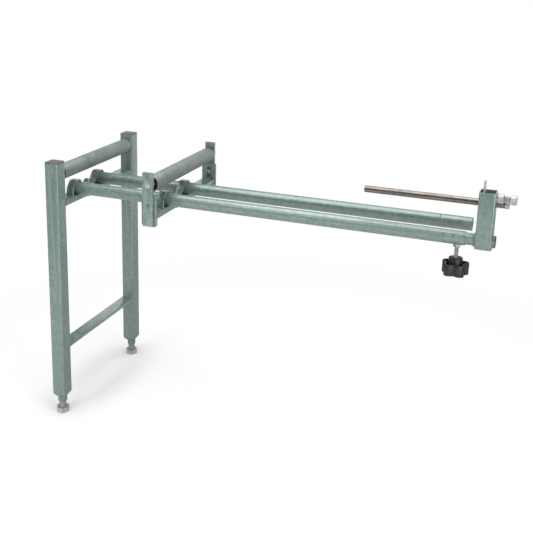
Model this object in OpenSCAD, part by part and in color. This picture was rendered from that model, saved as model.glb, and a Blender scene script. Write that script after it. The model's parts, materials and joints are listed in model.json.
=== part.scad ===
// Roller stand: a two-legged frame with a roller, two long rails that rest on its crossbar,
// a second roller on a carriage that slides along the rails, and a length stop that
// telescopes out of the near rail. X runs along the rails, away from the legs, Y from the
// near leg to the far leg, and Z up. The origin is on the floor, under the middle of the
// whole stand. Inside the modules x = 0 is the legs' plane and y = 0 the near leg's centre.

/* [Legs] */
// Height of the leg tops above the floor
stand_h = 745; // [650:5:900]
// Distance between the two legs' centres
leg_spacing = 420; // [380:10:600]
// Width of the square leg tubes
leg_w = 40; // [38:1:46]
// Wall of the leg tubes
leg_wall = 2; // [1.5:0.5:3]
// Outer corner radius of the leg tubes
leg_corner_r = 4; // [3.5:0.5:6]
// Length of the tapered end of each leg
taper_h = 11; // [8:1:20]
// Diameter of the threaded bush under each leg
bush_d = 26; // [24:1:32]
// Length of the threaded bush
bush_h = 16; // [12:1:24]
// Thickness of the flange of the plastic plug in each leg top
plug_flange_t = 3; // [2:0.5:5]
// Depth of the plug inside the leg
plug_depth = 12; // [8:1:16]
// Wall of the plug inside the leg
plug_wall = 2; // [1.5:0.5:2.5]
// Outer corner radius of the plug inside the leg
plug_corner_r = 3; // [3:0.5:4]

/* [Levelling feet] */
// Diameter of the foot bolts
foot_d = 20; // [16:1:20]
// Length of the foot bolt's shank
foot_shank_l = 80; // [60:5:120]
// Width across the flats of the foot bolt's head
foot_af = 34; // [28:1:34]
// Thickness of the foot bolt's head
foot_head_t = 14; // [10:1:18]
// Bare shank between the bush and the head
foot_gap = 20; // [10:1:30]

/* [Cross members] */
// Width of the stretcher between the legs
stretcher_w = 40; // [30:1:40]
// Thickness of the stretcher
stretcher_t = 6; // [4:1:10]
// Height of the stretcher's upper face above the floor
stretcher_top = 203; // [120:1:400]
// Width of the two crossbars
crossbar_w = 40; // [36:1:44]
// Height of the two crossbars
crossbar_h = 15.5; // [12:0.5:20]
// Wall of the two crossbars
crossbar_wall = 2; // [1.5:0.5:3]

/* [Rollers] */
// Outer diameter of the rollers
roller_d = 42.4; // [40:0.2:44]
// Wall of the roller tubes
roller_wall = 2; // [1.5:0.5:3]
// Gap between each roller end and the legs
roller_gap = 4; // [3:0.5:12]
// Depth of the roller axes below the leg tops
axle_below_top = 36; // [30:1:50]
// Diameter of the axles
axle_d = 16; // [14:1:18]
// Diameter of the main axle's ends in the leg walls
axle_end_d = 10; // [8:1:12]
// How far the main axle's ends stand out of the legs
axle_proud = 1; // [0.5:0.5:3]
// Length of the bearing hub in each roller end
hub_l = 12; // [8:1:20]
// How far the hubs are set back from the roller ends
hub_recess = 2; // [1:0.5:5]

/* [Rails] */
// Length of the two rails
rail_l = 1096; // [1060:4:1500]
// Length of the rails behind the crossbar's middle, towards the legs
rail_back = 7; // [5:1:20]
// Outer diameter of the rails
rail_d = 35; // [34:0.5:36]
// Wall of the rails
rail_wall = 2.5; // [2:0.5:3]
// Distance from the near leg's centre to the near rail
rail_near_y = 94; // [85:1:110]
// Distance between the two rails
rail_spacing = 124.5; // [118:0.5:135]
// Distance from the roller axes down to the crossbars' upper faces
crossbar_drop = 76.3; // [76:0.1:80]
// Diameter of the small holes near the rails' free ends
mark_hole_d = 4; // [3:0.5:6]
// Distance of the far rail's hole from its free end
far_hole_back = 81; // [40:1:120]
// Distances of the near rail's two holes from its free end
near_holes_back = [51, 26];
// Angle of the far rail's hole above the horizontal
far_hole_angle = 54; // [0:1:90]
// Angle of the near rail's holes above the horizontal
near_hole_angle = 33; // [0:1:90]

/* [Rail clamps] */
// Length of the clamp strips along the rails
clamp_w = 22; // [22:1:30]
// Distance of the clamp strips from the crossbars' middle, away from the legs
clamp_side = 4; // [0:0.5:5]
// Thickness of the clamp strips
clamp_t = 4.5; // [3:0.5:5]
// Half the width of the flat top over each rail
hump_top_half = 12; // [11:0.5:14]
// Half the width of each hump at the rail's axis
hump_shoulder_half = 28; // [27:0.5:30]
// Half the width of each hump at the crossbar
hump_base_half = 29.5; // [29:0.5:32]
// Half the width of the flat middle of the strips
clamp_middle_half = 12; // [10:0.5:16]
// Height of the flat middle above the crossbar
clamp_lift = 9.5; // [6:0.5:12]
// Diameter of the clamp bolts
clamp_bolt_d = 12; // [8:1:12]
// Width across the flats of the clamp bolts and nuts
clamp_af = 19; // [16:1:19]
// Thickness of the clamp bolts' heads
clamp_head_t = 7.5; // [5:0.5:8]
// Thickness of the clamp bolts' nuts
clamp_nut_t = 10; // [6:0.5:12]
// Length of thread above the clamp bolts' nuts
clamp_thread_out = 4; // [1:0.5:8]

/* [Carriage] */
// Distance from the legs to the carriage's roller
carriage_x = 279; // [120:1:600]
// Distance from the legs' middle planes in to the uprights' outer faces
carriage_inset = 1; // [0.5:0.5:4]
// Width of the bracket plates
bracket_w = 44; // [40:1:50]
// Thickness of the bracket plates
bracket_t = 5; // [4:0.5:6]
// Height of the bracket plates
bracket_h = 84.8; // [80:0.2:88]
// How far the bracket plates reach below the carriage's crossbar
bracket_below = 22.2; // [18:0.2:24]
// Corner radius at the foot of the bracket plates
bracket_corner_r = 8; // [4:1:12]
// Width of the uprights
upright_w = 29; // [26:1:32]
// Thickness of the uprights
upright_t = 9; // [8:0.5:10]
// Height of the uprights
upright_h = 146; // [130:1:150]
// How far the uprights stand above the roller's axis
upright_above = 35; // [28:1:40]
// Diameter of the height studs
stud_d = 8; // [6:1:8]
// Width across the flats of the height nuts
stud_af = 13; // [12:0.5:13]
// Thickness of the height nuts
stud_nut_t = 6.5; // [5:0.5:8]
// Length of thread inside the height nuts
stud_out = 5; // [1:0.5:6]
// Distance of the height studs below the roller's axis
stud_drop = 53; // [52:0.5:54]
// Height adjustment up or down from the middle
height_travel = 12; // [6:0.5:12]

/* [Length stop] */
// Length of the extension tube inside the near rail
extension_inside = 489; // [200:1:700]
// Wall of the extension tube
extension_wall = 2.5; // [2:0.5:3]
// Bare length of the extension tube between the rail and the post
stop_gap = 24; // [22:1:80]
// How far the extension tube stands out of the post
tube_proud = 4; // [2:0.5:8]
// Thickness of the end cap's flange
cap_flange_t = 3; // [2:0.5:5]
// Depth of the end cap inside the tube
cap_depth = 10; // [6:1:15]
// Width of the square post
post_w = 40; // [39:0.5:44]
// Wall of the post
post_wall = 2.5; // [2:0.5:3]
// Outer corner radius of the post
post_corner_r = 4; // [3.5:0.5:6]
// Height of the post
post_h = 141; // [136:1:160]
// How far the post reaches below the rail's axis
post_below = 18; // [17:0.5:24]
// Leg length of the weld between the tube and the post
weld_leg = 4.5; // [3:0.5:5]
// Diameter of the stop rod
rod_d = 17; // [15:0.5:17]
// Length of the stop rod
rod_l = 349; // [200:1:600]
// Distance from the post to the rod's outer end
rod_tail = 30; // [25:1:60]
// Outer diameter of the ring on the rod's outer end
collar_d = 18.4; // [18:0.1:18.4]
// Length of the ring on the rod's outer end
collar_l = 9; // [5:1:12]
// Height of the rod above the rail's axis
rod_rise = 93.1; // [90:0.1:94]
// Sideways offset of the rod from the post's middle
rod_side = 5; // [4:0.5:5]

/* [Rod lock] */
// Diameter of the lock bolt
lock_d = 14; // [12:1:14]
// Width across the flats of the lock bolt and its nut
lock_af = 22; // [20:1:22]
// Thickness of the lock bolt's head
lock_head_t = 14; // [8:1:16]
// Thickness of the lock nut
lock_nut_t = 12.5; // [8:0.5:13]
// Bare shank between the lock nut and the head
lock_gap = 16; // [12:1:24]
// Outer diameter of the threaded boss on the post
lock_boss_d = 22; // [20:1:24]
// Thickness of the threaded boss
lock_boss_t = 4.5; // [3:0.5:8]
// Height of the lock bolt above the rod
lock_rise = 18; // [18:0.5:20]
// Sideways distance from the rod to the lock bolt
lock_side = 13.5; // [13.5:0.1:14]
// Thickness of the lock plate
plate_t = 5; // [4:0.5:6]
// Distance from the post's inner face to the lock plate
plate_back = 5.5; // [4:0.5:8]
// Height of the lock plate inside the post
plate_h = 45; // [40:1:50]
// Height of the lock plate's foot below the rod
plate_drop = 16.5; // [14:0.5:20]
// Width of the tongue on top of the lock plate
tongue_w = 8; // [6:0.5:12]
// How far the tongue stands out of the post
tongue_out = 26.5; // [10:0.5:40]

/* [Clamp knob] */
// Distance from the near rail's free end to the knob
knob_back = 19; // [16:1:24]
// Width across the flats of the threaded boss under the rail
knob_boss_af = 16; // [15:1:20]
// How far the boss reaches below the rail
knob_boss_h = 6; // [4:1:16]
// Height of the boss's saddle round the rail
saddle_h = 3; // [2:0.5:4]
// Diameter of the knob's threaded stem
stem_d = 10; // [8:1:10]
// Bare stem between the boss and the knob
stem_gap = 28; // [15:1:40]
// Height of the knob's star
knob_h = 29; // [24:1:40]
// Number of lobes
lobes = 5; // [5:1:7]
// Distance of the lobes' centres from the knob's axis
lobe_at = 21.5; // [20:0.5:24]
// Radius of each lobe
lobe_r = 12; // [10:0.5:12]
// Radius of the knob's core
core_r = 26; // [24:0.5:28]
// Radius of the hollows between the lobes
valley_r = 8; // [6:0.5:9]
// Distance of the hollows' centres from the knob's axis
valley_at = 33; // [32:0.5:36]
// Wall of the hollow knob
knob_wall = 4; // [3:0.5:5]
// Thickness of the knob's floor
knob_floor = 6; // [4:0.5:8]
// Diameter of the hub in the knob
hub_d = 34; // [28:1:36]
// How far the hub stands above the star
hub_rise = 12; // [2:1:16]

/* [Hidden] */
// Gap between a rail and what it rests on, or a strip that clamps it
seat_gap = 0.3;
// Radial clearance of threads, bearings and the telescoping tube
fit = 0.1;
// Radial clearance of bolt holes
hole_gap = 0.4;
// Radial clearance of the rod in the lock plate
plate_gap = 0.5;
// Gap between the tip of a screw and what it presses on
tip_gap = 0.3;
// Clearance of pieces that slide into a square tube, each side
tube_gap = 0.5;
// Overrun of every cut
cut = 1;
$fn = 72;

// Heights
bush_z = foot_head_t + foot_gap;
leg_z = bush_z + bush_h;
leg_tube_top = stand_h - plug_flange_t;
axle_z = stand_h - axle_below_top;
crossbar_top = axle_z - crossbar_drop;
crossbar_z = crossbar_top - crossbar_h;
rail_z = crossbar_top + seat_gap + rail_d / 2;
bracket_z = crossbar_z - bracket_below;
upright_z = axle_z + upright_above - upright_h;
stud_z = axle_z - stud_drop;
post_z = rail_z - post_below;
rod_z = rail_z + rod_rise;
lock_z = rod_z + lock_rise;
boss_top_z = rail_z - rail_d / 2;
boss_z = boss_top_z - knob_boss_h;
knob_top_z = boss_z - stem_gap;
knob_z = knob_top_z - hub_rise - knob_h;

// Places along the rails
rail_x0 = -rail_back;
rail_x1 = rail_x0 + rail_l;
extension_x0 = rail_x1 - extension_inside;
post_x0 = rail_x1 + stop_gap;
post_x1 = post_x0 + post_w;
tube_x1 = post_x1 + tube_proud;
rod_x1 = post_x1 + rod_tail;
rod_x0 = rod_x1 - rod_l;
plate_x0 = post_x0 + post_wall + plate_back;
lock_x0 = plate_x0 + plate_t + tip_gap;
lock_nut_x = post_x1 + lock_boss_t;
lock_head_x = lock_nut_x + lock_nut_t + lock_gap;
knob_x = rail_x1 - knob_back;

// Places across the stand
rail_ys = [rail_near_y, rail_near_y + rail_spacing];
clamp_bolt_y = rail_near_y + rail_spacing / 2;
leg_inner_y = leg_w / 2;
roller_y = leg_inner_y + roller_gap;
roller_l = leg_spacing - 2 * roller_y;
upright_y = carriage_inset;
bracket_y = upright_y + upright_t;
carriage_bar_y = bracket_y + bracket_t;
rod_y = rail_near_y + rod_side;
lock_y = rod_y - lock_side;

// Bores and inner sizes
rail_bore_d = rail_d - 2 * rail_wall;
extension_d = rail_bore_d - 2 * fit;
extension_bore_d = extension_d - 2 * extension_wall;
roller_bore_d = roller_d - 2 * roller_wall;
hump_h = rail_d + 2 * seat_gap + clamp_t;
clamp_middle_h = clamp_lift + clamp_t;

// Middle of the whole stand, seen from above
corner_ratio = 1 / cos(30);
stand_x0 = -max(leg_w, roller_d, foot_af * corner_ratio) / 2;
stand_x1 = max(lock_head_x + lock_head_t, rod_x1, tube_x1 + cap_flange_t);
centre = [(stand_x0 + stand_x1) / 2, leg_spacing / 2, 0];

paint = "#84a096";
zinc = "#c9ccce";
plastic = "#4a3a3e";
black = "#262626";
rod_steel = "#6d645f";

// Moves what it holds from the legs' frame to the stand's own frame
module placed() {
    translate(-centre) children();
}

// Round bars along each axis, from the origin
module bar_x(d, l) {
    rotate([0, 90, 0]) cylinder(d = d, h = l);
}
module bar_y(d, l) {
    rotate([-90, 0, 0]) cylinder(d = d, h = l);
}

// Ring along Z: an outer and an inner diameter
module ring(d, bore, l) {
    difference() {
        cylinder(d = d, h = l);
        translate([0, 0, -cut]) cylinder(d = bore, h = l + 2 * cut);
    }
}

// Hexagon prism along Z, given by its width across the flats
module hex(af, h) {
    cylinder(d = af * corner_ratio, h = h, $fn = 6);
}

// Square outline with round corners, centred on the origin
module round_square(w, r) {
    square([w, w - 2 * r], center = true);
    square([w - 2 * r, w], center = true);
    for (x = [-1, 1], y = [-1, 1]) translate([x, y] * (w / 2 - r)) circle(r);
}

// Square tube along Z with round corners
module square_tube(w, wall, r, h) {
    linear_extrude(h) difference() {
        round_square(w, r);
        round_square(w - 2 * wall, r - wall);
    }
}

// Tapered end under a leg: four plane sides that narrow from the tube to the bush
module taper() {
    side = [[-bush_d / 2, 0], [bush_d / 2, 0], [leg_w / 2, taper_h], [-leg_w / 2, taper_h]];
    intersection() {
        translate([0, leg_w / 2, 0]) rotate([90, 0, 0]) linear_extrude(leg_w) polygon(side);
        translate([-leg_w / 2, 0, 0]) rotate([90, 0, 90]) linear_extrude(leg_w) polygon(side);
        linear_extrude(taper_h) round_square(leg_w, leg_corner_r);
    }
}

// Leg: square tube with a tapered end, a threaded bush and a hole for the main axle
module leg() {
    difference() {
        union() {
            translate([0, 0, leg_z + taper_h])
                square_tube(leg_w, leg_wall, leg_corner_r, leg_tube_top - leg_z - taper_h);
            translate([0, 0, leg_z]) taper();
            translate([0, 0, bush_z]) cylinder(d = bush_d, h = bush_h);
        }
        translate([0, 0, bush_z - cut])
            cylinder(d = foot_d + 2 * fit, h = bush_h + taper_h + 2 * cut);
        translate([0, -leg_w, axle_z]) bar_y(axle_end_d + 2 * fit, 2 * leg_w);
    }
}
module leg_near() {
    color(paint) placed() leg();
}
module leg_far() {
    color(paint) placed() translate([0, leg_spacing, 0]) leg();
}

// Plugs in the leg tops: a flange as wide as the tube and a hollow insert
module leg_plugs() {
    insert_w = leg_w - 2 * (leg_wall + fit);
    color(plastic) placed() for (y = [0, leg_spacing]) translate([0, y, leg_tube_top]) {
        linear_extrude(plug_flange_t) round_square(leg_w, leg_corner_r);
        translate([0, 0, -plug_depth])
            square_tube(insert_w, plug_wall, plug_corner_r, plug_depth);
    }
}

// Flat bar between the legs, near the floor
module stretcher() {
    color(paint) placed() translate([-stretcher_w / 2, leg_inner_y, stretcher_top - stretcher_t])
        cube([stretcher_w, leg_spacing - leg_w, stretcher_t]);
}

// Rectangular tube along Y with a hole for the clamp bolt, from y0 to the mirrored end
module crossbar_tube(x, y0) {
    inner = [crossbar_w - 2 * crossbar_wall, crossbar_h - 2 * crossbar_wall];
    difference() {
        translate([x, y0, crossbar_z + crossbar_h / 2]) rotate([-90, 0, 0])
            linear_extrude(leg_spacing - 2 * y0) difference() {
                square([crossbar_w, crossbar_h], center = true);
                square(inner, center = true);
            }
        translate([x + clamp_side, clamp_bolt_y, crossbar_z - cut])
            cylinder(d = clamp_bolt_d + 2 * hole_gap, h = crossbar_h + 2 * cut);
    }
}
module crossbar() {
    color(paint) placed() crossbar_tube(0, leg_inner_y);
}
module carriage_bar() {
    color(paint) placed() crossbar_tube(carriage_x, carriage_bar_y);
}

// Rail tube along X, from the legs to its free end
module rail(y) {
    translate([rail_x0, y, rail_z]) difference() {
        bar_x(rail_d, rail_l);
        translate([-cut, 0, 0]) bar_x(rail_bore_d, rail_l + 2 * cut);
    }
}

// Small hole through the front of a rail's wall, at an angle above the horizontal
module mark_hole(y, back, angle) {
    translate([rail_x1 - back, y, rail_z]) rotate([90 - angle, 0, 0])
        cylinder(d = mark_hole_d, h = rail_d);
}
module rail_near() {
    color(paint) placed() difference() {
        rail(rail_ys[0]);
        for (back = near_holes_back) mark_hole(rail_ys[0], back, near_hole_angle);
        translate([knob_x, rail_ys[0], rail_z - rail_d]) cylinder(d = stem_d + 2 * fit, h = rail_d);
    }
}
module rail_far() {
    color(paint) placed() difference() {
        rail(rail_ys[1]);
        mark_hole(rail_ys[1], far_hole_back, far_hole_angle);
    }
}

// Strip that holds both rails down: a hump over each rail, and between the humps a slope down
// to the flat middle with the bolt. The outline is drawn across the rails, from the bolt out
// to one end, with zero height at the crossbar's upper face.
module clamp_outline() {
    at = rail_spacing / 2;
    t = clamp_t;
    half = [[clamp_middle_half, clamp_middle_h], [at - hump_shoulder_half, hump_h / 2],
        [at - hump_top_half, hump_h], [at + hump_top_half, hump_h],
        [at + hump_shoulder_half, hump_h / 2], [at + hump_base_half, 0],
        [at + hump_base_half - t, 0], [at + hump_shoulder_half - t, hump_h / 2 - 0.4 * t],
        [at + hump_top_half - t / 2, hump_h - t], [at - hump_top_half + t / 2, hump_h - t],
        [at - hump_shoulder_half + t / 2, hump_h / 2 - 0.9 * t],
        [clamp_middle_half, clamp_middle_h - t]];
    other_half = [for (i = [len(half) - 1 : -1 : 0]) [-half[i][0], half[i][1]]];
    polygon(concat(half, other_half));
}
module rail_clamp(x) {
    difference() {
        translate([x + clamp_side - clamp_w / 2, clamp_bolt_y, crossbar_top])
            rotate([90, 0, 90]) linear_extrude(clamp_w) clamp_outline();
        translate([x + clamp_side, clamp_bolt_y, crossbar_top])
            cylinder(d = clamp_bolt_d + 2 * hole_gap, h = hump_h);
    }
}

// Its bolt, head down under the crossbar, and the nut on the strip's middle
module clamp_bolt(x) {
    shank_l = crossbar_h + clamp_middle_h + clamp_nut_t + clamp_thread_out;
    translate([x + clamp_side, clamp_bolt_y, crossbar_z]) {
        translate([0, 0, -clamp_head_t]) hex(clamp_af, clamp_head_t);
        cylinder(d = clamp_bolt_d, h = shank_l);
    }
}
module clamp_nut(x) {
    translate([x + clamp_side, clamp_bolt_y, crossbar_top + clamp_middle_h]) difference() {
        hex(clamp_af, clamp_nut_t);
        translate([0, 0, -cut]) cylinder(d = clamp_bolt_d + 2 * fit, h = clamp_nut_t + 2 * cut);
    }
}
module frame_clamp() {
    color(paint) placed() rail_clamp(0);
}
module frame_clamp_bolt() {
    color(zinc) placed() clamp_bolt(0);
}
module frame_clamp_nut() {
    color(zinc) placed() clamp_nut(0);
}
module carriage_clamp() {
    color(paint) placed() rail_clamp(carriage_x);
}
module carriage_clamp_bolt() {
    color(zinc) placed() clamp_bolt(carriage_x);
}
module carriage_clamp_nut() {
    color(zinc) placed() clamp_nut(carriage_x);
}

// Roller tube along Y, and the bearing hubs in its ends
module roller(x) {
    translate([x, roller_y, axle_z]) rotate([-90, 0, 0])
        ring(roller_d, roller_bore_d, roller_l);
}
module hubs(x) {
    hub_y = roller_y + hub_recess;
    for (y = [hub_y, leg_spacing - hub_y - hub_l]) translate([x, y, axle_z])
        rotate([-90, 0, 0]) ring(roller_bore_d - fit, axle_d + 2 * fit, hub_l);
}

// Fixed axle between the legs, with thin ends through their walls
module main_axle() {
    end_y = -leg_w / 2 - axle_proud;
    color(paint) placed() {
        translate([0, leg_inner_y, axle_z]) bar_y(axle_d, leg_spacing - leg_w);
        translate([0, end_y, axle_z]) bar_y(axle_end_d, leg_spacing - 2 * end_y);
    }
}
module main_roller() {
    color(paint) placed() roller(0);
}
module main_hubs() {
    color(black) placed() hubs(0);
}

// Foot bolts, head down: the shank in the bush and the hexagon head that stands on the floor
module foot_shank(y) {
    color(zinc) placed() translate([0, y, foot_head_t]) cylinder(d = foot_d, h = foot_shank_l);
}
module foot_head(y) {
    color(zinc) placed() translate([0, y, 0]) hex(foot_af, foot_head_t);
}
module foot_near_shank() {
    foot_shank(0);
}
module foot_near_head() {
    foot_head(0);
}
module foot_far_shank() {
    foot_shank(leg_spacing);
}
module foot_far_head() {
    foot_head(leg_spacing);
}

// Bracket plate at one end of the carriage's crossbar, with an upright slot for the stud
module bracket(y0) {
    slot_half = height_travel + hole_gap;
    low = bracket_corner_r;
    translate([carriage_x, y0 + bracket_t, 0]) rotate([90, 0, 0]) linear_extrude(bracket_t)
        difference() {
            union() {
                translate([-bracket_w / 2, bracket_z + low])
                    square([bracket_w, bracket_h - low]);
                translate([-bracket_w / 2 + low, bracket_z]) square([bracket_w - 2 * low, low]);
                for (x = [-1, 1]) translate([x * (bracket_w / 2 - low), bracket_z + low])
                    circle(low);
            }
            translate([0, stud_z]) square([stud_d + 2 * hole_gap, 2 * slot_half], center = true);
            for (z = [-slot_half, slot_half]) translate([0, stud_z + z])
                circle(d = stud_d + 2 * hole_gap);
        }
}
module bracket_near() {
    color(paint) placed() bracket(bracket_y);
}
module bracket_far() {
    color(paint) placed() bracket(leg_spacing - bracket_y - bracket_t);
}

// Upright flat bar outside a bracket plate, with holes for the stud and the axle
module upright(y0) {
    difference() {
        translate([carriage_x - upright_w / 2, y0, upright_z])
            cube([upright_w, upright_t, upright_h]);
        translate([carriage_x, y0 - cut, axle_z]) bar_y(axle_d + fit, upright_t + 2 * cut);
        translate([carriage_x, y0 - cut, stud_z]) bar_y(stud_d + fit, upright_t + 2 * cut);
    }
}
module upright_near() {
    color(paint) placed() upright(upright_y);
}
module upright_far() {
    color(paint) placed() upright(leg_spacing - upright_y - upright_t);
}

// Studs in the uprights, through the slots, and the nuts on the inner side of the plates
module at_both_ends() {
    children();
    translate([0, leg_spacing, 0]) mirror([0, 1, 0]) children();
}
module height_studs() {
    stud_l = upright_t + bracket_t + stud_nut_t + stud_out;
    color(zinc) placed() at_both_ends()
        translate([carriage_x, upright_y, stud_z]) bar_y(stud_d, stud_l);
}
module height_nuts() {
    color(zinc) placed() at_both_ends()
        translate([carriage_x, carriage_bar_y, stud_z]) rotate([-90, 30, 0]) difference() {
            hex(stud_af, stud_nut_t);
            translate([0, 0, -cut]) cylinder(d = stud_d + fit, h = stud_nut_t + 2 * cut);
        }
}
module mid_axle() {
    color(zinc) placed() translate([carriage_x, upright_y, axle_z])
        bar_y(axle_d, leg_spacing - 2 * upright_y);
}
module mid_roller() {
    color(paint) placed() roller(carriage_x);
}
module mid_hubs() {
    color(black) placed() hubs(carriage_x);
}

// Extension tube in the near rail, and the cap in its outer end
module extension_tube() {
    l = tube_x1 - extension_x0;
    color(paint) placed() translate([extension_x0, rail_near_y, rail_z]) difference() {
        bar_x(extension_d, l);
        translate([-cut, 0, 0]) bar_x(extension_bore_d, l + 2 * cut);
    }
}
module tube_cap() {
    color(plastic) placed() translate([tube_x1, rail_near_y, rail_z]) {
        bar_x(extension_d, cap_flange_t);
        translate([-cap_depth, 0, 0]) bar_x(extension_bore_d - 2 * fit, cap_depth);
    }
}

// Post: square tube on the extension tube, open at the top, with the weld round the tube
module stop_post() {
    tube_hole_d = extension_d + 2 * fit;
    color(paint) placed() difference() {
        union() {
            translate([post_x0 + post_w / 2, rail_near_y, post_z])
                square_tube(post_w, post_wall, post_corner_r, post_h);
            translate([post_x0 - weld_leg, rail_near_y, rail_z]) rotate([0, 90, 0])
                cylinder(d1 = extension_d + 2 * weld_leg / 3, d2 = extension_d + 2 * weld_leg,
                    h = weld_leg);
        }
        translate([post_x0 - weld_leg - cut, rail_near_y, rail_z])
            bar_x(tube_hole_d, post_w + weld_leg + 2 * cut);
        translate([post_x0 - cut, rod_y, rod_z]) bar_x(rod_d + 2 * fit, post_w + 2 * cut);
        translate([post_x0 + post_w / 2, lock_y, lock_z]) bar_x(lock_d + 2 * fit, post_w);
    }
}

// Threaded boss for the lock bolt, on the post's outer face
module lock_boss() {
    color(paint) placed() translate([post_x1, lock_y, lock_z]) rotate([0, 90, 0])
        ring(lock_boss_d, lock_d + 2 * fit, lock_boss_t);
}

// Stop rod through the post, and the ring on its outer end
module stop_rod() {
    color(rod_steel) placed() translate([rod_x0, rod_y, rod_z]) bar_x(rod_d, rod_l);
}
module rod_collar() {
    color(zinc) placed() translate([rod_x1 - collar_l, rod_y, rod_z]) rotate([0, 90, 0])
        ring(collar_d, rod_d + fit, collar_l);
}

// Lock plate round the rod, with a tongue that stands out of the post's open top
module lock_plate() {
    plate_w = post_w - 2 * (post_wall + tube_gap);
    plate_z = rod_z - plate_drop;
    tongue_top = post_z + post_h + tongue_out;
    color(zinc) placed() difference() {
        union() {
            translate([plate_x0, rail_near_y - plate_w / 2, plate_z])
                cube([plate_t, plate_w, plate_h]);
            translate([plate_x0, rail_near_y - tongue_w / 2, plate_z])
                cube([plate_t, tongue_w, tongue_top - tongue_w / 2 - plate_z]);
            translate([plate_x0, rail_near_y, tongue_top - tongue_w / 2])
                bar_x(tongue_w, plate_t);
        }
        translate([plate_x0 - cut, rod_y, rod_z])
            bar_x(rod_d + 2 * plate_gap, plate_t + 2 * cut);
    }
}

// Lock bolt: the shank that presses on the plate, its head, and the nut against the boss
module lock_shank() {
    color(zinc) placed() translate([lock_x0, lock_y, lock_z])
        bar_x(lock_d, lock_head_x - lock_x0);
}
module lock_head() {
    color(zinc) placed() translate([lock_head_x, lock_y, lock_z]) rotate([0, 90, 0])
        hex(lock_af, lock_head_t);
}
module lock_nut() {
    color(zinc) placed() translate([lock_nut_x, lock_y, lock_z]) rotate([0, 90, 0])
        difference() {
            hex(lock_af, lock_nut_t);
            translate([0, 0, -cut]) cylinder(d = lock_d + fit, h = lock_nut_t + 2 * cut);
        }
}

// Threaded boss under the near rail, shaped to the rail's round underside
module knob_boss() {
    color(paint) placed() difference() {
        translate([knob_x, rail_near_y, boss_z]) rotate(30)
            hex(knob_boss_af, knob_boss_h + saddle_h);
        translate([rail_x1 - 2 * rail_d, rail_near_y, rail_z]) bar_x(rail_d + fit, 2 * rail_d);
        translate([knob_x, rail_near_y, boss_z - cut]) cylinder(d = stem_d + 2 * fit, h = rail_d);
    }
}

// Knob's stem, from its tip under the extension tube down into the knob's hub
module knob_stem() {
    stem_z = knob_z + knob_floor;
    tip_z = rail_z - extension_d / 2 - tip_gap;
    color(zinc) placed() translate([knob_x, rail_near_y, stem_z])
        cylinder(d = stem_d, h = tip_z - stem_z);
}

// Star outline: a core with lobes round it and a round hollow between each pair of lobes.
// A positive inset gives the outline of the cavity inside the knob's wall.
module star(inset) {
    step = 360 / lobes;
    difference() {
        union() {
            circle(core_r - inset);
            for (i = [0 : lobes - 1]) rotate(90 + i * step) translate([lobe_at, 0])
                circle(lobe_r - inset);
        }
        for (i = [0 : lobes - 1]) rotate(90 + (i + 0.5) * step) translate([valley_at, 0])
            circle(valley_r + inset);
    }
}
module star_knob() {
    hub_h = knob_h + hub_rise;
    color(black) placed() translate([knob_x, rail_near_y, knob_z]) difference() {
        union() {
            difference() {
                linear_extrude(knob_h) star(0);
                translate([0, 0, knob_floor]) linear_extrude(knob_h) star(knob_wall);
            }
            cylinder(d = hub_d, h = hub_h);
        }
        translate([0, 0, knob_floor]) cylinder(d = stem_d + fit, h = hub_h);
    }
}

leg_near();
leg_far();
leg_plugs();
stretcher();
crossbar();
rail_near();
rail_far();
knob_boss();
frame_clamp();
frame_clamp_bolt();
frame_clamp_nut();
main_axle();
main_roller();
main_hubs();
foot_near_shank();
foot_near_head();
foot_far_shank();
foot_far_head();
carriage_bar();
bracket_near();
bracket_far();
carriage_clamp();
carriage_clamp_bolt();
carriage_clamp_nut();
upright_near();
upright_far();
height_studs();
height_nuts();
mid_axle();
mid_roller();
mid_hubs();
extension_tube();
tube_cap();
stop_post();
lock_boss();
stop_rod();
rod_collar();
lock_plate();
lock_shank();
lock_head();
lock_nut();
knob_stem();
star_knob();
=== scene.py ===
"""Dresses the roller stand: finished metal, threads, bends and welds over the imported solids."""

import json
import math

import bmesh
import bpy
from mathutils import Matrix, Vector


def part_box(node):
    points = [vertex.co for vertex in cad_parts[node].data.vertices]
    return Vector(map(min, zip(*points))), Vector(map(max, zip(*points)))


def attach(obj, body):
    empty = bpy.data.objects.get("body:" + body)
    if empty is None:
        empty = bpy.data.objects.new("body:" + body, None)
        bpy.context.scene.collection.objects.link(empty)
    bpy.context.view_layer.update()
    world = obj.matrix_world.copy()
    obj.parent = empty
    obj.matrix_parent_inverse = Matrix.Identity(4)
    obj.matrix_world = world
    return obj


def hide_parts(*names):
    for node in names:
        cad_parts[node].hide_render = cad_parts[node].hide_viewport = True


MM = 0.001
X, Y, Z = Vector((1, 0, 0)), Vector((0, 1, 0)), Vector((0, 0, 1))

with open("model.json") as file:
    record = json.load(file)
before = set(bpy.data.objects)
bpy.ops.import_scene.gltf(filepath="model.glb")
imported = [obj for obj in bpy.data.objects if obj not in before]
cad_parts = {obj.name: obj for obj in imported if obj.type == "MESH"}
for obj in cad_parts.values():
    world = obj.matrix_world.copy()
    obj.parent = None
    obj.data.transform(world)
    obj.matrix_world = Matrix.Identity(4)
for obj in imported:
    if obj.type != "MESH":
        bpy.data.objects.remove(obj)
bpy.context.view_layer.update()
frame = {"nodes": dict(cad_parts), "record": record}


# Node trees

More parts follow.
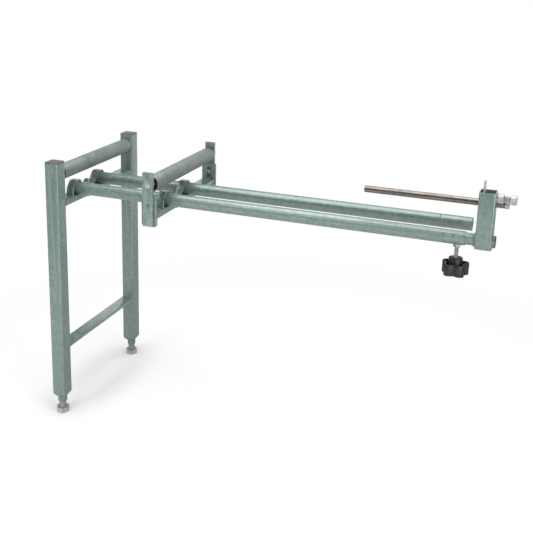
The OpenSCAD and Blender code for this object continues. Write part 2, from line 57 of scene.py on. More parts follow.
class Net:
    """A material's node tree, filled one node at a time."""

    def __init__(self, material):
        material.use_nodes = True
        self.tree = material.node_tree
        self.tree.nodes.clear()

    def node(self, kind, inputs=None, **settings):
        made = self.tree.nodes.new("ShaderNode" + kind)
        for name, value in settings.items():
            setattr(made, name, value)
        for name, value in (inputs or {}).items():
            socket = made.inputs[name]
            if isinstance(value, bpy.types.NodeSocket):
                self.tree.links.new(value, socket)
            else:
                socket.default_value = value
        return made

    def place(self, scale=(1, 1, 1)):
        """Position on the part, stretched per axis."""
        where = self.node("TexCoord").outputs["Object"]
        return self.node("Mapping", {"Vector": where, "Scale": scale}).outputs["Vector"]

    def noise(self, where, scale, detail=2.0, roughness=0.5):
        inputs = {"Vector": where, "Scale": scale, "Detail": detail, "Roughness": roughness}
        return self.node("TexNoise", inputs).outputs["Fac"]

    def span(self, value, low, high, to_low=0.0, to_high=1.0):
        """Value between low and high, brought to between to_low and to_high."""
        inputs = {"Value": value, "From Min": low, "From Max": high, "To Min": to_low,
                  "To Max": to_high}
        return self.node("MapRange", inputs).outputs["Result"]

    def cloud(self, where, scale, detail, roughness=0.5, low=0.3, high=0.7):
        """Noise whose stretch from low to high is brought to between 0 and 1."""
        return self.span(self.noise(where, scale, detail, roughness), low, high)

    def times(self, a, b):
        return self.node("Math", {0: a, 1: b}, operation="MULTIPLY").outputs[0]

    def mix(self, share, a, b):
        """Colour a where share is 0 and b where it is 1."""
        return self.node("Mix", {0: share, 6: a, 7: b}, data_type="RGBA").outputs[2]

    def rubbed(self, tone, share, bare, low=0.52, high=0.58):
        """Tone, worn in patches towards the bare colour along outer edges."""
        edge = self.span(self.node("NewGeometry").outputs["Pointiness"], low, high)
        patches = self.cloud(self.place(), 90.0, 4.0, low=0.42, high=0.6)
        return self.mix(self.times(self.times(edge, patches), share), tone, bare)

    def bump(self, height, strength, depth, under=None):
        inputs = {"Height": height, "Strength": strength, "Distance": depth}
        if under is not None:
            inputs["Normal"] = under
        return self.node("Bump", inputs).outputs["Normal"]

    def surface(self, colour, metallic, roughness, normal, **more):
        inputs = {"Base Color": colour, "Metallic": metallic, "Roughness": roughness,
                  "Normal": normal}
        inputs.update(more)
        shader = self.node("BsdfPrincipled", inputs).outputs["BSDF"]
        self.node("OutputMaterial", {"Surface": shader})


def rgb(red, green, blue):
    """Shader colour from 0 to 255 display values."""
    def linear(value):
        value /= 255
        return value / 12.92 if value <= 0.04045 else ((value + 0.055) / 1.055) ** 2.4
    return (linear(red), linear(green), linear(blue), 1.0)


def hammertone(net):
    """Grey-green metallic paint with a hammered skin, small pits and rubbed edges."""
    where = net.place()
    warp = net.node("TexNoise", {"Vector": where, "Scale": 160.0}).outputs["Color"]
    inputs = {0: warp, 1: (0.003, 0.003, 0.003), 2: where}
    bent = net.node("VectorMath", inputs, operation="MULTIPLY_ADD").outputs["Vector"]
    cells = net.node("TexVoronoi", {"Vector": bent, "Scale": 230.0, "Smoothness": 0.5},
                     feature="SMOOTH_F1").outputs["Distance"]
    island = net.span(cells, 0.15, 0.65, 1.0, 0.0)
    cloud = net.cloud(where, 14.0, 3.0)
    dark, light = rgb(106, 125, 121), rgb(128, 146, 142)
    tone = net.mix(net.cloud(where, 420.0, 3.0), dark, light)
    tone = net.mix(net.times(island, 0.38), tone, rgb(140, 160, 156))
    tone = net.mix(net.times(cloud, 0.15), tone, dark)
    spots = net.node("TexVoronoi", {"Vector": where, "Scale": 40.0}).outputs["Distance"]
    pit = net.span(spots, 0.03, 0.05, 1.0, 0.0)
    few = net.cloud(where, 21.0, 1.0, low=0.56, high=0.6)
    tone = net.mix(net.times(net.times(pit, few), 0.6), tone, rgb(60, 76, 72))
    tone = net.rubbed(tone, 0.4, rgb(176, 190, 186))
    rough = net.span(cloud, 0.0, 1.0, 0.36, 0.44)
    grain = net.bump(net.noise(where, 1500.0), 0.12, 0.1 * MM)
    skin = net.bump(island, 0.4, 0.2 * MM, grain)
    coat = {"Coat Weight": 0.5, "Coat Roughness": 0.22}
    net.surface(tone, 0.45, rough, skin, **coat)


def ground_tube(net):
    """Satin roller tube, ground round its axis along Y, with faint rub bands."""
    rings = net.noise(net.place((1, 60, 1)), 30.0, 4.0, 0.7)
    where = net.place()
    bands = net.cloud(net.place((0.2, 1, 0.2)), 22.0, 3.0)
    tone = net.mix(bands, rgb(128, 140, 137), rgb(144, 154, 151))
    speck = net.cloud(where, 600.0, 4.0, low=0.62, high=0.72)
    tone = net.mix(net.times(speck, 0.4), tone, rgb(104, 116, 112))
    tone = net.rubbed(tone, 0.6, rgb(205, 210, 208))
    rough = net.span(bands, 0.0, 1.0, 0.50, 0.60)
    grain = net.bump(net.noise(where, 900.0), 0.1, 0.08 * MM)
    net.surface(tone, 0.75, rough, net.bump(rings, 0.12, 0.08 * MM, grain))


def zinc_plate(net):
    """Zinc plating with a mottled grey bloom and bright edges."""
    where = net.place()
    bloom = net.cloud(where, 120.0, 5.0, 0.6)
    tone = net.mix(bloom, rgb(150, 153, 153), rgb(176, 177, 174))
    dull = net.cloud(where, 35.0, 3.0, low=0.45)
    tone = net.mix(net.times(dull, 0.3), tone, rgb(128, 129, 129))
    tone = net.rubbed(tone, 0.4, rgb(205, 206, 204))
    rough = net.span(bloom, 0.0, 1.0, 0.38, 0.5)
    net.surface(tone, 0.35, rough, net.bump(net.noise(where, 700.0), 0.08, 0.08 * MM))


def turned_bar(net):
    """Bare bar, drawn along X, dark brown-grey with brighter streaks."""
    where = net.place()
    streak = net.cloud(net.place((0.02, 1, 1)), 520.0, 4.0, 0.65)
    tone = net.mix(streak, rgb(104, 98, 93), rgb(146, 139, 133))
    stain = net.cloud(net.place((0.5, 1, 1)), 40.0, 4.0, low=0.45)
    tone = net.mix(net.times(stain, 0.4), tone, rgb(92, 82, 74))
    tone = net.rubbed(tone, 0.6, rgb(196, 190, 186))
    rough = net.span(stain, 0.0, 1.0, 0.28, 0.42)
    grain = net.bump(net.noise(where, 1200.0), 0.1, 0.06 * MM)
    net.surface(tone, 0.85, rough, net.bump(streak, 0.15, 0.06 * MM, grain))


def plug_skin(net):
    """Moulded brown-grey plug with a matt grain and scuffed rim."""
    where = net.place()
    cloud = net.cloud(where, 60.0, 3.0)
    tone = net.mix(cloud, rgb(78, 74, 73), rgb(98, 93, 92))
    tone = net.rubbed(tone, 0.5, rgb(140, 130, 130))
    rough = net.span(cloud, 0.0, 1.0, 0.42, 0.56)
    net.surface(tone, 0.0, rough, net.bump(net.noise(where, 1600.0, 3.0), 0.25, 0.1 * MM))


def black_moulding(net):
    """Black plastic with a fine spark-eroded grain and greyed edges."""
    where = net.place()
    cloud = net.cloud(where, 70.0, 3.0)
    tone = net.mix(cloud, rgb(27, 24, 25), rgb(40, 36, 37))
    tone = net.rubbed(tone, 0.4, rgb(80, 76, 76))
    rough = net.span(cloud, 0.0, 1.0, 0.38, 0.52)
    net.surface(tone, 0.0, rough, net.bump(net.noise(where, 1500.0, 3.0), 0.3, 0.12 * MM))


FINISHES = {
    "paint": hammertone,
    "roller_steel": ground_tube,
    "zinc": zinc_plate,
    "rod_steel": turned_bar,
    "plug_plastic": plug_skin,
    "black_plastic": black_moulding,
}
MATERIALS = {}
for slot, build in FINISHES.items():
    MATERIALS[slot] = bpy.data.materials.new(slot)
    build(Net(MATERIALS[slot]))


# Meshes

# Steps round a turned piece, a ring of weld, a thread, a bead and the floor.
ROUND_STEPS, RING_STEPS, THREAD_STEPS, BEAD_SIDES, FLOOR_STEPS = 72, 60, 36, 10, 96

# Corners closer than this, in metres, are one.
MERGE = 1e-6

# Angles in degrees: corners left sharp, faces taken as one, edges bevelled, edges shaded smooth.
SHARP, SHARP_HEXAGON, SHARP_THREAD, SHARP_WELD = 35, 22, 50, 80
ONE_FACE, BEVELLED, SMOOTHED = 0.3, 35, 32

# A hexagon's shares are of its width over flats: its face inside the chamfer, and its middle.
CHAMFER = math.radians(30)
FACE_SHARE, MIDDLE_SHARE = 0.47, 0.05

# A thread's shares are of its pitch: its depth, and where its crest starts and ends.
DEPTH_SHARE = 0.55
CREST_SHARES = (0.4, 0.6)

# A weld's ripples: their spacing, their turns in radians and their shares of the bead's radius.
RIPPLE = 0.7 * MM
RIPPLE_TURN, WAVER_TURN = 0.8, 0.37
RIPPLE_SHARE, WAVER_SHARE = 0.14, 0.04

# An open bead starts at a share of its radius and gains another share at each step.
END_SHARE, GROWTH_SHARE = 0.4, 0.25

# A bead that climbs more than this takes its side from X.
STEEP = 0.8

# A strip's cut corners, as a share of its thickness.
STRIP_EDGE_SHARE = 0.12


def side_axis(axis, limit=0.5):
    """Z, or X for an axis that stands up more than the limit."""
    return Z if abs(axis.dot(Z)) < limit else X


def turned_to(origin, axis, across):
    """Matrix that puts a local Z along axis and a local X along across, at origin."""
    place = Matrix((across, axis.cross(across), axis)).transposed().to_4x4()
    place.translation = origin
    return place


def piece(name, points, faces, slot, body, place=Matrix(), sharp=SHARP):
    """A new piece of mesh with its finish, riding on a body."""
    mesh = bpy.data.meshes.new(name)
    mesh.from_pydata([place @ Vector(p) for p in points], [], faces)
    shape = bmesh.new()
    shape.from_mesh(mesh)
    bmesh.ops.remove_doubles(shape, verts=shape.verts, dist=MERGE)
    bmesh.ops.recalc_face_normals(shape, faces=shape.faces)
    shape.to_mesh(mesh)
    shape.free()
    mesh.shade_smooth()
    mesh.set_sharp_from_angle(angle=math.radians(sharp))
    mesh.materials.append(MATERIALS[slot])
    made = bpy.data.objects.new(name, mesh)
    bpy.context.scene.collection.objects.link(made)
    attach(made, body)
    return made


def skin(rows, closed_rows=False):
    """Points and faces of a skin over rows of points, each row closed on itself."""
    count = len(rows[0])
    points = [p for row in rows for p in row]
    faces = []
    last = len(rows) if closed_rows else len(rows) - 1
    for i in range(last):
        a, b = i * count, (i + 1) % len(rows) * count
        for j in range(count):
            k = (j + 1) % count
            faces.append((a + j, a + k, b + k, b + j))
    return points, faces


def capped(rows):
    """As skin, with the first and last row filled."""
    points, faces = skin(rows)
    count = len(rows[0])
    faces.append(tuple(range(count)))
    faces.append(tuple(range(len(points) - count, len(points))))
    return points, faces


def circle(radius, height, count=ROUND_STEPS):
    step = 2 * math.pi / count
    return [(radius * math.cos(i * step), radius * math.sin(i * step), height)
            for i in range(count)]


def bar_profile(radius, length, edge):
    """Outline of a solid bar with rounded ends, from its start to its end."""
    bend = [math.radians(a) for a in (90, 60, 30, 0)]
    start = [(radius - edge + edge * math.cos(a), edge - edge * math.sin(a)) for a in bend]
    return start + [(r, length - h) for r, h in reversed(start)]


def ring_profile(bore, radius, length, edge):
    """Outline of a ring: its outside with rounded edges, then its bore."""
    return bar_profile(radius, length, edge) + [(bore, length), (bore, 0)]


def turned(name, profile, origin, axis, slot, body, ring=False):
    """Solid turned from a profile of (radius, distance along the axis)."""
    rows = [circle(r, h) for r, h in profile]
    points, faces = skin(rows, True) if ring else capped(rows)
    return piece(name, points, faces, slot, body, turned_to(origin, axis, side_axis(axis)))


def hexagon(name, flats, thick, origin, axis, corner, body, bore=0.0, ends=(1,)):
    """Zinc hexagon head or nut. Its ends are chamfered by a cone, as a lathe leaves them."""
    step = 2 * math.pi / ROUND_STEPS
    inner = bore / 2 if bore else MIDDLE_SHARE * flats
    cone_r = FACE_SHARE * flats
    slope = math.tan(CHAMFER)

    def row(radius_of, height_of):
        made = []
        for i in range(ROUND_STEPS):
            r = radius_of(i * step)
            made.append((r * math.cos(i * step), r * math.sin(i * step), height_of(r)))
        return made

    def side(angle):
        return flats / 2 / math.cos(angle % (math.pi / 3) - math.pi / 6)

    def cut(end):
        sign = 1 if end else -1
        face = thick if end else 0.0
        if end not in ends:
            return lambda r: face
        return lambda r: face - sign * max(0.0, r - cone_r) * slope

    low, high = cut(0), cut(1)
    rows = [row(lambda a: inner, low), row(lambda a: cone_r, low), row(side, low),
            row(side, high), row(lambda a: cone_r, high), row(lambda a: inner, high)]
    points, faces = skin(rows, True) if bore else capped(rows)
    place = turned_to(origin, axis, corner)
    return piece(name, points, faces, "zinc", body, place, SHARP_HEXAGON)


def threaded(name, diameter, pitch, length, origin, axis, body, tip):
    """Zinc bar with a helical thread and a tapered tip."""
    count = THREAD_STEPS
    crest, root = diameter / 2, diameter / 2 - DEPTH_SHARE * pitch
    phases = ((0.0, root), (CREST_SHARES[0], crest), (CREST_SHARES[1], crest))
    turns = int(length / pitch) + 2
    rows = []
    for turn in range(-1, turns):
        for phase, radius in phases:
            row = []
            for i in range(count):
                height = (turn + phase + i / count) * pitch
                height = min(max(height, 0.0), length)
                r = radius
                if length - height < tip:
                    r = min(r, crest - (tip - (length - height)))
                angle = 2 * math.pi * i / count
                row.append((r * math.cos(angle), r * math.sin(angle), height))
            rows.append(row)
    points, faces = [p for row in rows for p in row], []
    for k in range(len(rows) - 1):
        for i in range(count):
            a, b = k * count + i, (k + 1) * count + i
            if i < count - 1:
                faces.append((a, a + 1, b + 1, b))
            elif k + 1 + len(phases) < len(rows):
                seam = len(phases) * count
                faces.append((a, a - i + seam, b - i + seam, b))
    place = turned_to(origin, axis, side_axis(axis))
    return piece(name, points, faces, "zinc", body, place, SHARP_THREAD)


def rounded(path, radius, steps=6):
    """An open path of 2-D points with an arc at each inner corner."""
    made = [path[0]]
    for before, corner, after in zip(path, path[1:], path[2:]):
        corner = Vector(corner)
        back = (Vector(before) - corner).normalized()
        ahead = (Vector(after) - corner).normalized()
        half = back.angle(ahead) / 2
        reach = radius / math.tan(half)
        middle = corner + (back + ahead).normalized() * radius / math.sin(half)
        start, end = corner + back * reach, corner + ahead * reach
        for i in range(steps + 1):
            spoke = (start - middle).lerp(end - middle, i / steps).normalized()
            made.append(middle + spoke * radius)
    made.append(path[-1])
    return [Vector(p) for p in made]


def bent_strip(name, path, thick, width, origin, along, up, body):
    """Painted flat bar bent along a path: along and up span the bends, the width lies across."""
    across = along.cross(up)
    edge = STRIP_EDGE_SHARE * thick
    half_w, half_t = width / 2, thick / 2
    loop = [(half_w - edge, half_t), (half_w, half_t - edge), (half_w, edge - half_t),
            (half_w - edge, -half_t), (edge - half_w, -half_t), (-half_w, edge - half_t),
            (-half_w, half_t - edge), (edge - half_w, half_t)]
    rows = []
    for i, spot in enumerate(path):
        ahead = path[min(i + 1, len(path) - 1)] - path[max(i - 1, 0)]
        normal = Vector((-ahead.y, ahead.x)).normalized()
        row = []
        for w, t in loop:
            flat = spot + normal * t
            row.append(origin + along * flat.x + up * flat.y + across * w)
        rows.append(row)
    points, faces = capped(rows)
    return piece(name, points, faces, "paint", body)


def weld(name, path, radius, body, closed=False):
    """Rippled bead of weld metal along a path of points, painted over."""
    steps = []
    ends = list(zip(path, path[1:] + path[:1])) if closed else list(zip(path, path[1:]))
    for a, b in ends:
        parts = max(1, round((b - a).length / RIPPLE))
        steps += [(a.lerp(b, i / parts), (b - a).normalized()) for i in range(parts)]
    if not closed:
        steps.append((path[-1], (path[-1] - path[-2]).normalized()))
    rows = []
    for i, (spot, ahead) in enumerate(steps):
        side = ahead.cross(side_axis(ahead, STEEP)).normalized()
        up = side.cross(ahead)
        swell = 1 - RIPPLE_SHARE * (1 - abs(math.sin(i * RIPPLE_TURN)))
        swell += WAVER_SHARE * math.sin(i * WAVER_TURN)
        if not closed:
            swell *= min(1.0, END_SHARE + GROWTH_SHARE * min(i, len(steps) - 1 - i))
        row = []
        for j in range(BEAD_SIDES):
            angle = 2 * math.pi * j / BEAD_SIDES
            row.append(spot + (side * math.cos(angle) + up * math.sin(angle)) * radius * swell)
        rows.append(row)
    points, faces = skin(rows, True) if closed else capped(rows)
    return piece(name, points, faces, "paint", body, sharp=SHARP_WELD)


def tree_group(name):
    """Empty modifier node group with a mesh in and a mesh out."""
    group = bpy.data.node_groups.new(name, "GeometryNodeTree")
    group.interface.new_socket("Mesh", in_out="INPUT", socket_type="NodeSocketGeometry")
    group.interface.new_socket("Mesh", in_out="OUTPUT", socket_type="NodeSocketGeometry")
    return group, group.nodes.new("NodeGroupInput"), group.nodes.new("NodeGroupOutput")


def joined_group():
    """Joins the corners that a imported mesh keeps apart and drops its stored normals."""
    group, start, end = tree_group("joined")
    drop = group.nodes.new("GeometryNodeRemoveAttribute")
    drop.inputs["Name"].default_value = "custom_normal"
    join = group.nodes.new("GeometryNodeMergeByDistance")
    join.inputs["Distance"].default_value = MERGE
    group.links.new(start.outputs[0], drop.inputs["Geometry"])
    group.links.new(drop.outputs["Geometry"], join.inputs["Geometry"])
    group.links.new(join.outputs["Geometry"], end.inputs[0])
    return group


def smooth_group(angle):
    """Shades smooth across every edge flatter than the angle."""
    group, start, end = tree_group("smooth")
    edge = group.nodes.new("GeometryNodeInputMeshEdgeAngle")
    flat = group.nodes.new("FunctionNodeCompare")
    flat.data_type, flat.operation = "FLOAT", "LESS_EQUAL"
    flat.inputs["B"].default_value = math.radians(angle)
    edges = group.nodes.new("GeometryNodeSetShadeSmooth")
    edges.domain = "EDGE"
    faces = group.nodes.new("GeometryNodeSetShadeSmooth")
    group.links.new(edge.outputs["Unsigned Angle"], flat.inputs["A"])
    group.links.new(start.outputs[0], faces.inputs["Geometry"])
    group.links.new(faces.outputs["Geometry"], edges.inputs["Geometry"])
    group.links.new(flat.outputs["Result"], edges.inputs["Shade Smooth"])
    group.links.new(edges.outputs["Geometry"], end.inputs[0])
    return group


JOINED, SMOOTH = joined_group(), smooth_group(SMOOTHED)


def dress(node, edge):
    """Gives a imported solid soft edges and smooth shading."""
    solid = frame["nodes"][node]
    solid.modifiers.new("joined", "NODES").node_group = JOINED
    flat = solid.modifiers.new("flat", "DECIMATE")
    flat.decimate_type = "DISSOLVE"
    flat.angle_limit = math.radians(ONE_FACE)
    soft = solid.modifiers.new("soft", "BEVEL")
    soft.width, soft.segments = edge, 2
    soft.limit_method, soft.angle_limit = "ANGLE", math.radians(BEVELLED)
    solid.modifiers.new("smooth", "NODES").node_group = SMOOTH


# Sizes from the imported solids

# Each side of the stand: which corner of a box lies there, and the way inwards from it.
SIDES = (("near", 0, Y), ("far", 1, -Y))
ROLLERS = ("main", "mid")
CLAMPS = (("frame", "crossbar"), ("carriage", "carriage_bar"))


def middle(node):
    low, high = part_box(node)
    return (low + high) / 2


def size(node):
    low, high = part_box(node)
    return high - low


def on(node, **moved):
    """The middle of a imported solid, with the coordinates given in place of its own."""
    spot = middle(node)
    for coordinate, value in moved.items():
        setattr(spot, coordinate, value)
    return spot


# Fasteners

FOOT_PITCH = 2.5 * MM
LOCK_PITCH = 2 * MM
STEM_PITCH = 1.5 * MM
SCREW_TIP = 1.5 * MM
STEM_TIP = 1 * MM

# A clamp bolt's shank as a share of its width over flats, then a shank's pitch and tip.
SHANK_SHARE = 0.63
PITCH_SHARE, TIP_SHARE = 0.15, 0.1

# The lock nut's bore, as a share of its shank.
LOCK_BORE_SHARE = 1.01

# How far the height studs stand out of their nuts, and what keeps two flat faces apart.
STUD_OUT = 5 * MM
GAP = 0.02 * MM


def levelling_feet():
    for side, _, _ in SIDES:
        shank, head = f"foot_{side}_shank", f"foot_{side}_head"
        low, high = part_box(shank)
        bolt = threaded(f"foot_{side}_thread", size(shank).x, FOOT_PITCH, high.z - low.z - GAP,
                        on(shank, z=low.z + GAP), Z, f"foot_{side}_screw", SCREW_TIP)
        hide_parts(shank)
        low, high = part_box(head)
        cap = hexagon(f"foot_{side}_hexagon", size(head).y, high.z - low.z,
                      on(shank, z=high.z), -Z, X, f"foot_{side}_hex")
        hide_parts(head)


def clamp_bolts():
    for body, bar in CLAMPS:
        node, nut = f"{body}_clamp_bolt", f"{body}_clamp_nut"
        low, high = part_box(node)
        flats = size(node).y
        shank_d = SHANK_SHARE * flats
        seat = on(node, z=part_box(bar)[0].z)
        head = hexagon(f"{body}_bolt_head", flats, seat.z - low.z, seat, -Z, X, body)
        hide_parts(node)
        shank = threaded(f"{body}_bolt_shank", shank_d, PITCH_SHARE * shank_d, high.z - seat.z,
                         seat, Z, body, TIP_SHARE * shank_d)
        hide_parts(node)
        start = on(node, z=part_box(nut)[0].z)
        ring = hexagon(f"{body}_bolt_nut", flats, size(nut).z, start, Z, X, body,
                       bore=shank_d, ends=(0, 1))
        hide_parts(nut)


def height_fasteners():
    nuts, studs = "height_nuts", "height_studs"
    flats, stud_d = size(nuts).x, size(studs).z
    nut_t = flats / 2
    length = size("upright_near").y + size("bracket_near").y + nut_t + STUD_OUT
    for side, corner, inward in SIDES:
        seat = on(nuts, y=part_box(nuts)[corner].y) + inward * GAP
        nut = hexagon(f"height_nut_{side}", flats, nut_t - GAP, seat, inward, Z, "yoke",
                      bore=stud_d, ends=(0, 1))
        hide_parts(nuts)
        start = on(nuts, y=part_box(studs)[corner].y)
        stud = threaded(f"height_stud_{side}", stud_d, PITCH_SHARE * stud_d, length, start,
                        inward, "yoke", TIP_SHARE * stud_d)
        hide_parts(studs)


def lock_bolt():
    low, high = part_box("lock_shank")
    shank_d = size("lock_shank").z
    shank = threaded("lock_thread", shank_d, LOCK_PITCH, high.x - low.x,
                     on("lock_shank", x=high.x), -X, "lock_feed_body", SCREW_TIP)
    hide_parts("lock_shank")
    bore = LOCK_BORE_SHARE * shank_d
    hexagons = (("lock_head", "lock_hexagon", 0.0, (1,)),
                ("lock_nut", "lock_nut_hex", bore, (0, 1)))
    for node, name, bore, ends in hexagons:
        low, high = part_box(node)
        made = hexagon(name, size(node).y, high.x - low.x, on("lock_shank", x=low.x), X, Z,
                       "lock_turn_body", bore=bore, ends=ends)
        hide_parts(node)


def knob_stem():
    low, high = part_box("knob_stem")
    stem = threaded("stem_thread", size("knob_stem").x, STEM_PITCH, high.z - low.z,
                    on("knob_stem", z=low.z), Z, "knob_feed_body", STEM_TIP)
    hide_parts("knob_stem")


# Rollers and bars

ROLLER_EDGE = 1.2 * MM
BAR_EDGE = 0.9 * MM
COLLAR_EDGE = 0.5 * MM
COLLAR_CLEARANCE = 0.03 * MM
HUB_L = 12 * MM
HUB_CLEARANCE = 0.3 * MM

# A bearing hub's outline: shares of its wall from the bore out, and of its length from its face.
RING_SHARES = ((0.0, 1.0), (0.0, 0.1), (0.18, 0.1))
SEAL_SHARES = ((0.22, 0.18), (0.47, 0.18))
FLANGE_SHARES = ((0.52, 0.03), (0.9, 0.0), (1.0, 0.07), (1.0, 1.0))


def hub_profile(bore, radius):
    """Outline of a bearing hub: inner ring, sunk seal, then the flange pressed into the tube."""
    wall = radius - bore
    shares = RING_SHARES + SEAL_SHARES + FLANGE_SHARES
    return [(bore + out * wall, along * HUB_L) for out, along in shares]


def rollers():
    for which in ROLLERS:
        node, hubs, body = f"{which}_roller", f"{which}_hubs", f"{which}_roller_body"
        low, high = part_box(node)
        hub_r = size(hubs).z / 2
        profile = ring_profile(hub_r, size(node).z / 2, high.y - low.y, ROLLER_EDGE)
        tube = turned(f"{which}_roller_tube", profile, on(node, y=low.y), Y, "roller_steel",
                      body, ring=True)
        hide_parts(node)
        profile = hub_profile(size(f"{which}_axle").z / 2 + HUB_CLEARANCE, hub_r)
        for side, corner, inward in SIDES:
            start = on(node, y=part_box(hubs)[corner].y)
            hub = turned(f"{which}_hub_{side}", profile, start, inward, "black_plastic", body,
                         ring=True)
            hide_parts(hubs)


def stop_bar():
    low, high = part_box("stop_rod")
    radius = size("stop_rod").z / 2
    bar = turned("stop_bar", bar_profile(radius, high.x - low.x, BAR_EDGE),
                 on("stop_rod", x=low.x), X, "rod_steel", "rod")
    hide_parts("stop_rod")
    low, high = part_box("rod_collar")
    profile = ring_profile(radius + COLLAR_CLEARANCE, size("rod_collar").z / 2,
                           high.x - low.x, COLLAR_EDGE)
    ring = turned("collar_ring", profile, on("stop_rod", x=low.x), X, "zinc", "rod", ring=True)
    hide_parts("rod_collar")


# Clamp strips

STRIP_T = 4.5 * MM
STRIP_FLAT = 24 * MM
STRIP_BEND = 2 * STRIP_T


def strip_path(low, high, seat):
    """Centre line of a clamp strip across the rails, from one foot to the other."""
    tall, half = high.z - low.z, STRIP_T / 2
    at = (middle("rail_far").y - middle("rail_near").y) / 2
    foot = middle("rail_near").y - low.y
    shoulder, flat = foot - STRIP_T / 3, STRIP_FLAT / 2
    points = [(flat, seat - half), (at - shoulder + half / 2, tall / 2 - half),
              (at - flat + half / 2, tall - half), (at + flat - half / 2, tall - half),
              (at + shoulder - half, tall / 2 - half / 2), (at + foot - half, 0)]
    mirrored = [(-across, height) for across, height in reversed(points)]
    return rounded(mirrored + points, STRIP_BEND)


def clamp_strips():
    for body, _ in CLAMPS:
        node, nut = f"{body}_clamp", f"{body}_clamp_nut"
        low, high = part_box(node)
        path = strip_path(low, high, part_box(nut)[0].z - low.z)
        origin = on(node, y=middle(nut).y, z=low.z)
        strip = bent_strip(f"{body}_clamp_strip", path, STRIP_T, high.x - low.x, origin, Y, Z,
                           body)
        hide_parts(node)


# Welds

# Radii of the beads, and how far those on a bar stop short of its edges.
BAR_BEAD = 1.6 * MM
FLAT_BEAD = 1.4 * MM
BUSH_BEAD = 1.2 * MM
LOCK_BEAD = 1.2 * MM
KNOB_BEAD = 1.0 * MM
AXLE_BEAD = 0.9 * MM
BEAD_INSET = 3 * MM

# Rings: round a leg's threaded bush, round an axle's end, and as a share of the knob's boss.
BUSH_UP = 16 * MM
BUSH_R = 13 * MM
AXLE_END_R = 5.4 * MM
SEAM_SHARE = 0.54


def straight_welds(name, node, body, radius):
    """Beads along the top and bottom of a cross member's two ends."""
    low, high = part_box(node)
    for end, y in (("near", low.y), ("far", high.y)):
        for side, z in (("top", high.z), ("under", low.z)):
            path = [Vector((low.x + BEAD_INSET, y, z)), Vector((high.x - BEAD_INSET, y, z))]
            weld(f"{name}_weld_{end}_{side}", path, radius, body)


def ring_path(centre, axis, radius):
    place = turned_to(centre, axis, side_axis(axis))
    return [place @ Vector(p) for p in circle(radius, 0, RING_STEPS)]


def knob_boss_weld():
    """Bead that follows the near rail's round where the knob's boss meets it."""
    centre = on("knob_boss", z=0)
    rail_r = size("rail_near").z / 2
    ring = []
    for spot in ring_path(centre, Z, SEAM_SHARE * size("knob_boss").x):
        drop = math.sqrt(rail_r ** 2 - (spot.y - centre.y) ** 2)
        ring.append(Vector((spot.x, spot.y, middle("rail_near").z - drop)))
    weld("knob_boss_weld", ring, KNOB_BEAD, "frame", True)


def welds():
    straight_welds("crossbar", "crossbar", "frame", BAR_BEAD)
    straight_welds("stretcher", "stretcher", "frame", FLAT_BEAD)
    straight_welds("carriage", "carriage_bar", "carriage", BAR_BEAD)
    for side, corner, _ in SIDES:
        leg = f"leg_{side}"
        spot = on(leg, z=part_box(leg)[0].z + BUSH_UP)
        weld(f"bush_weld_{side}", ring_path(spot, Z, BUSH_R), BUSH_BEAD, "frame", True)
        spot = on("main_axle", y=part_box(leg)[corner].y)
        weld(f"axle_weld_{side}", ring_path(spot, Y, AXLE_END_R), AXLE_BEAD, "frame", True)
    spot = on("lock_boss", x=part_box("lock_boss")[0].x)
    weld("boss_weld", ring_path(spot, X, size("lock_boss").y / 2), LOCK_BEAD, "stop", True)
    knob_boss_weld()


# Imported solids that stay, with the radius of their edges in millimetres.
SOFT_EDGES = {
    "leg_near": 0.5, "leg_far": 0.5, "leg_plugs": 0.8, "stretcher": 0.8, "crossbar": 1.2,
    "carriage_bar": 1.2, "rail_near": 0.4, "rail_far": 0.4, "knob_boss": 0.6,
    "bracket_near": 0.6, "bracket_far": 0.6, "upright_near": 0.9, "upright_far": 0.9,
    "extension_tube": 0.4, "tube_cap": 1.0, "stop_post": 0.5, "lock_boss": 0.5,
    "lock_plate": 0.6, "star_knob": 1.2, "main_axle": 0.5, "mid_axle": 0.5,
}


def finish_solids():
    """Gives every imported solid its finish, and those that stay their soft edges."""
    slots = {part["node"]: part["material_slot"] for part in frame["record"]["subparts"]}
    for node, solid in frame["nodes"].items():
        solid.data.materials.clear()
        solid.data.materials.append(MATERIALS[slots[node]])
        if node in SOFT_EDGES:
            dress(node, SOFT_EDGES[node] * MM)


# Room

FLOOR_R = 6.0
FLOOR_Z = -0.5 * MM
FADE_START, FADE_END = 0.75, 1.4


def area_light(name, where, target, width, depth, power, glossy=True):
    lamp = bpy.data.lights.new(name, "AREA")
    lamp.shape, lamp.size, lamp.size_y, lamp.energy = "RECTANGLE", width, depth, power
    made = bpy.data.objects.new(name, lamp)
    made.location = where
    made.rotation_euler = (Vector(target) - Vector(where)).to_track_quat("-Z", "Y").to_euler()
    made.visible_camera, made.visible_glossy = False, glossy
    bpy.context.scene.collection.objects.link(made)


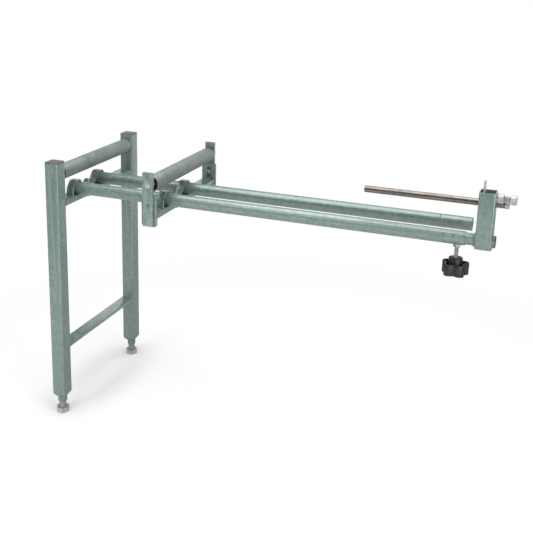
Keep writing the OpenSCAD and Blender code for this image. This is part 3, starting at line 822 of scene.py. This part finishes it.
def backdrop():
    """White floor that keeps the shadow and fades into the white surroundings."""
    mesh = bpy.data.meshes.new("floor")
    mesh.from_pydata(circle(FLOOR_R, FLOOR_Z, FLOOR_STEPS), [], [tuple(range(FLOOR_STEPS))])
    floor = bpy.data.objects.new("floor", mesh)
    bpy.context.scene.collection.objects.link(floor)
    material = bpy.data.materials.new("floor")
    net = Net(material)
    where = net.node("TexCoord").outputs["Object"]
    far = net.node("VectorMath", {0: where}, operation="LENGTH").outputs["Value"]
    grain = net.noise(net.place(), 300.0, 3.0)
    seen = net.node("LightPath").outputs["Is Camera Ray"]
    white = net.mix(grain, rgb(250, 250, 250), rgb(253, 253, 253))
    tone = net.mix(seen, rgb(200, 200, 200), white)
    matt = net.node("BsdfDiffuse", {"Color": tone}).outputs["BSDF"]
    clear = net.node("BsdfTransparent").outputs["BSDF"]
    fade = net.times(net.span(far, FADE_START, FADE_END), seen)
    both = net.node("MixShader", {0: fade, 1: matt, 2: clear})
    net.node("OutputMaterial", {"Surface": both.outputs[0]})
    mesh.materials.append(material)


def surroundings():
    """White room to the camera, dim to everything else."""
    world = bpy.data.worlds.new("room")
    bpy.context.scene.world = world
    net = Net(world)
    seen = net.node("LightPath").outputs["Is Camera Ray"]
    dim, white = (0.08, 0.08, 0.08, 1), (1, 1, 1, 1)
    glow = net.node("Background", {"Color": net.mix(seen, dim, white), "Strength": 1.0})
    net.node("OutputWorld", {"Surface": glow.outputs[0]})


def camera():
    """The photo's camera, solved from the stand's straight edges."""
    azimuth, elevation, roll = (math.radians(a) for a in (20.78, 15.2, 1.26))
    target, distance = Vector((-0.10509, -0.010, 0.68556)), 2.50619
    back = Vector((math.sin(azimuth) * math.cos(elevation),
                   -math.cos(azimuth) * math.cos(elevation), math.sin(elevation)))
    right = Z.cross(back).normalized()
    up = back.cross(right)
    side = right * math.cos(roll) + up * math.sin(roll)
    over = up * math.cos(roll) - right * math.sin(roll)
    lens = bpy.data.cameras.new("camera")
    lens.sensor_width, lens.lens = 36.0, 61.92
    lens.shift_x, lens.shift_y = 0.0348, -0.152
    lens.clip_start, lens.clip_end = 0.05, 100
    made = bpy.data.objects.new("camera", lens)
    place = Matrix((side, over, back)).transposed().to_4x4()
    place.translation = target + back * distance
    made.matrix_world = place
    bpy.context.scene.collection.objects.link(made)
    bpy.context.scene.camera = made


def lights():
    centre = (0.0, 0.0, 0.5)
    area_light("overhead", (-0.2, -0.1, 2.6), centre, 2.4, 3.0, 78)
    area_light("wall", (0.0, 3.0, 1.2), (0.0, 0.0, 1.2), 6.0, 2.4, 45)
    area_light("front", (-0.8, -2.6, 0.5), centre, 2.0, 1.0, 56, glossy=False)
    area_light("right", (2.1, -1.8, 0.7), centre, 1.4, 1.4, 32)


levelling_feet()
clamp_bolts()
height_fasteners()
lock_bolt()
knob_stem()
rollers()
stop_bar()
clamp_strips()
welds()
finish_solids()
backdrop()
surroundings()
lights()
camera()
bpy.context.scene.view_settings.view_transform = "Standard"
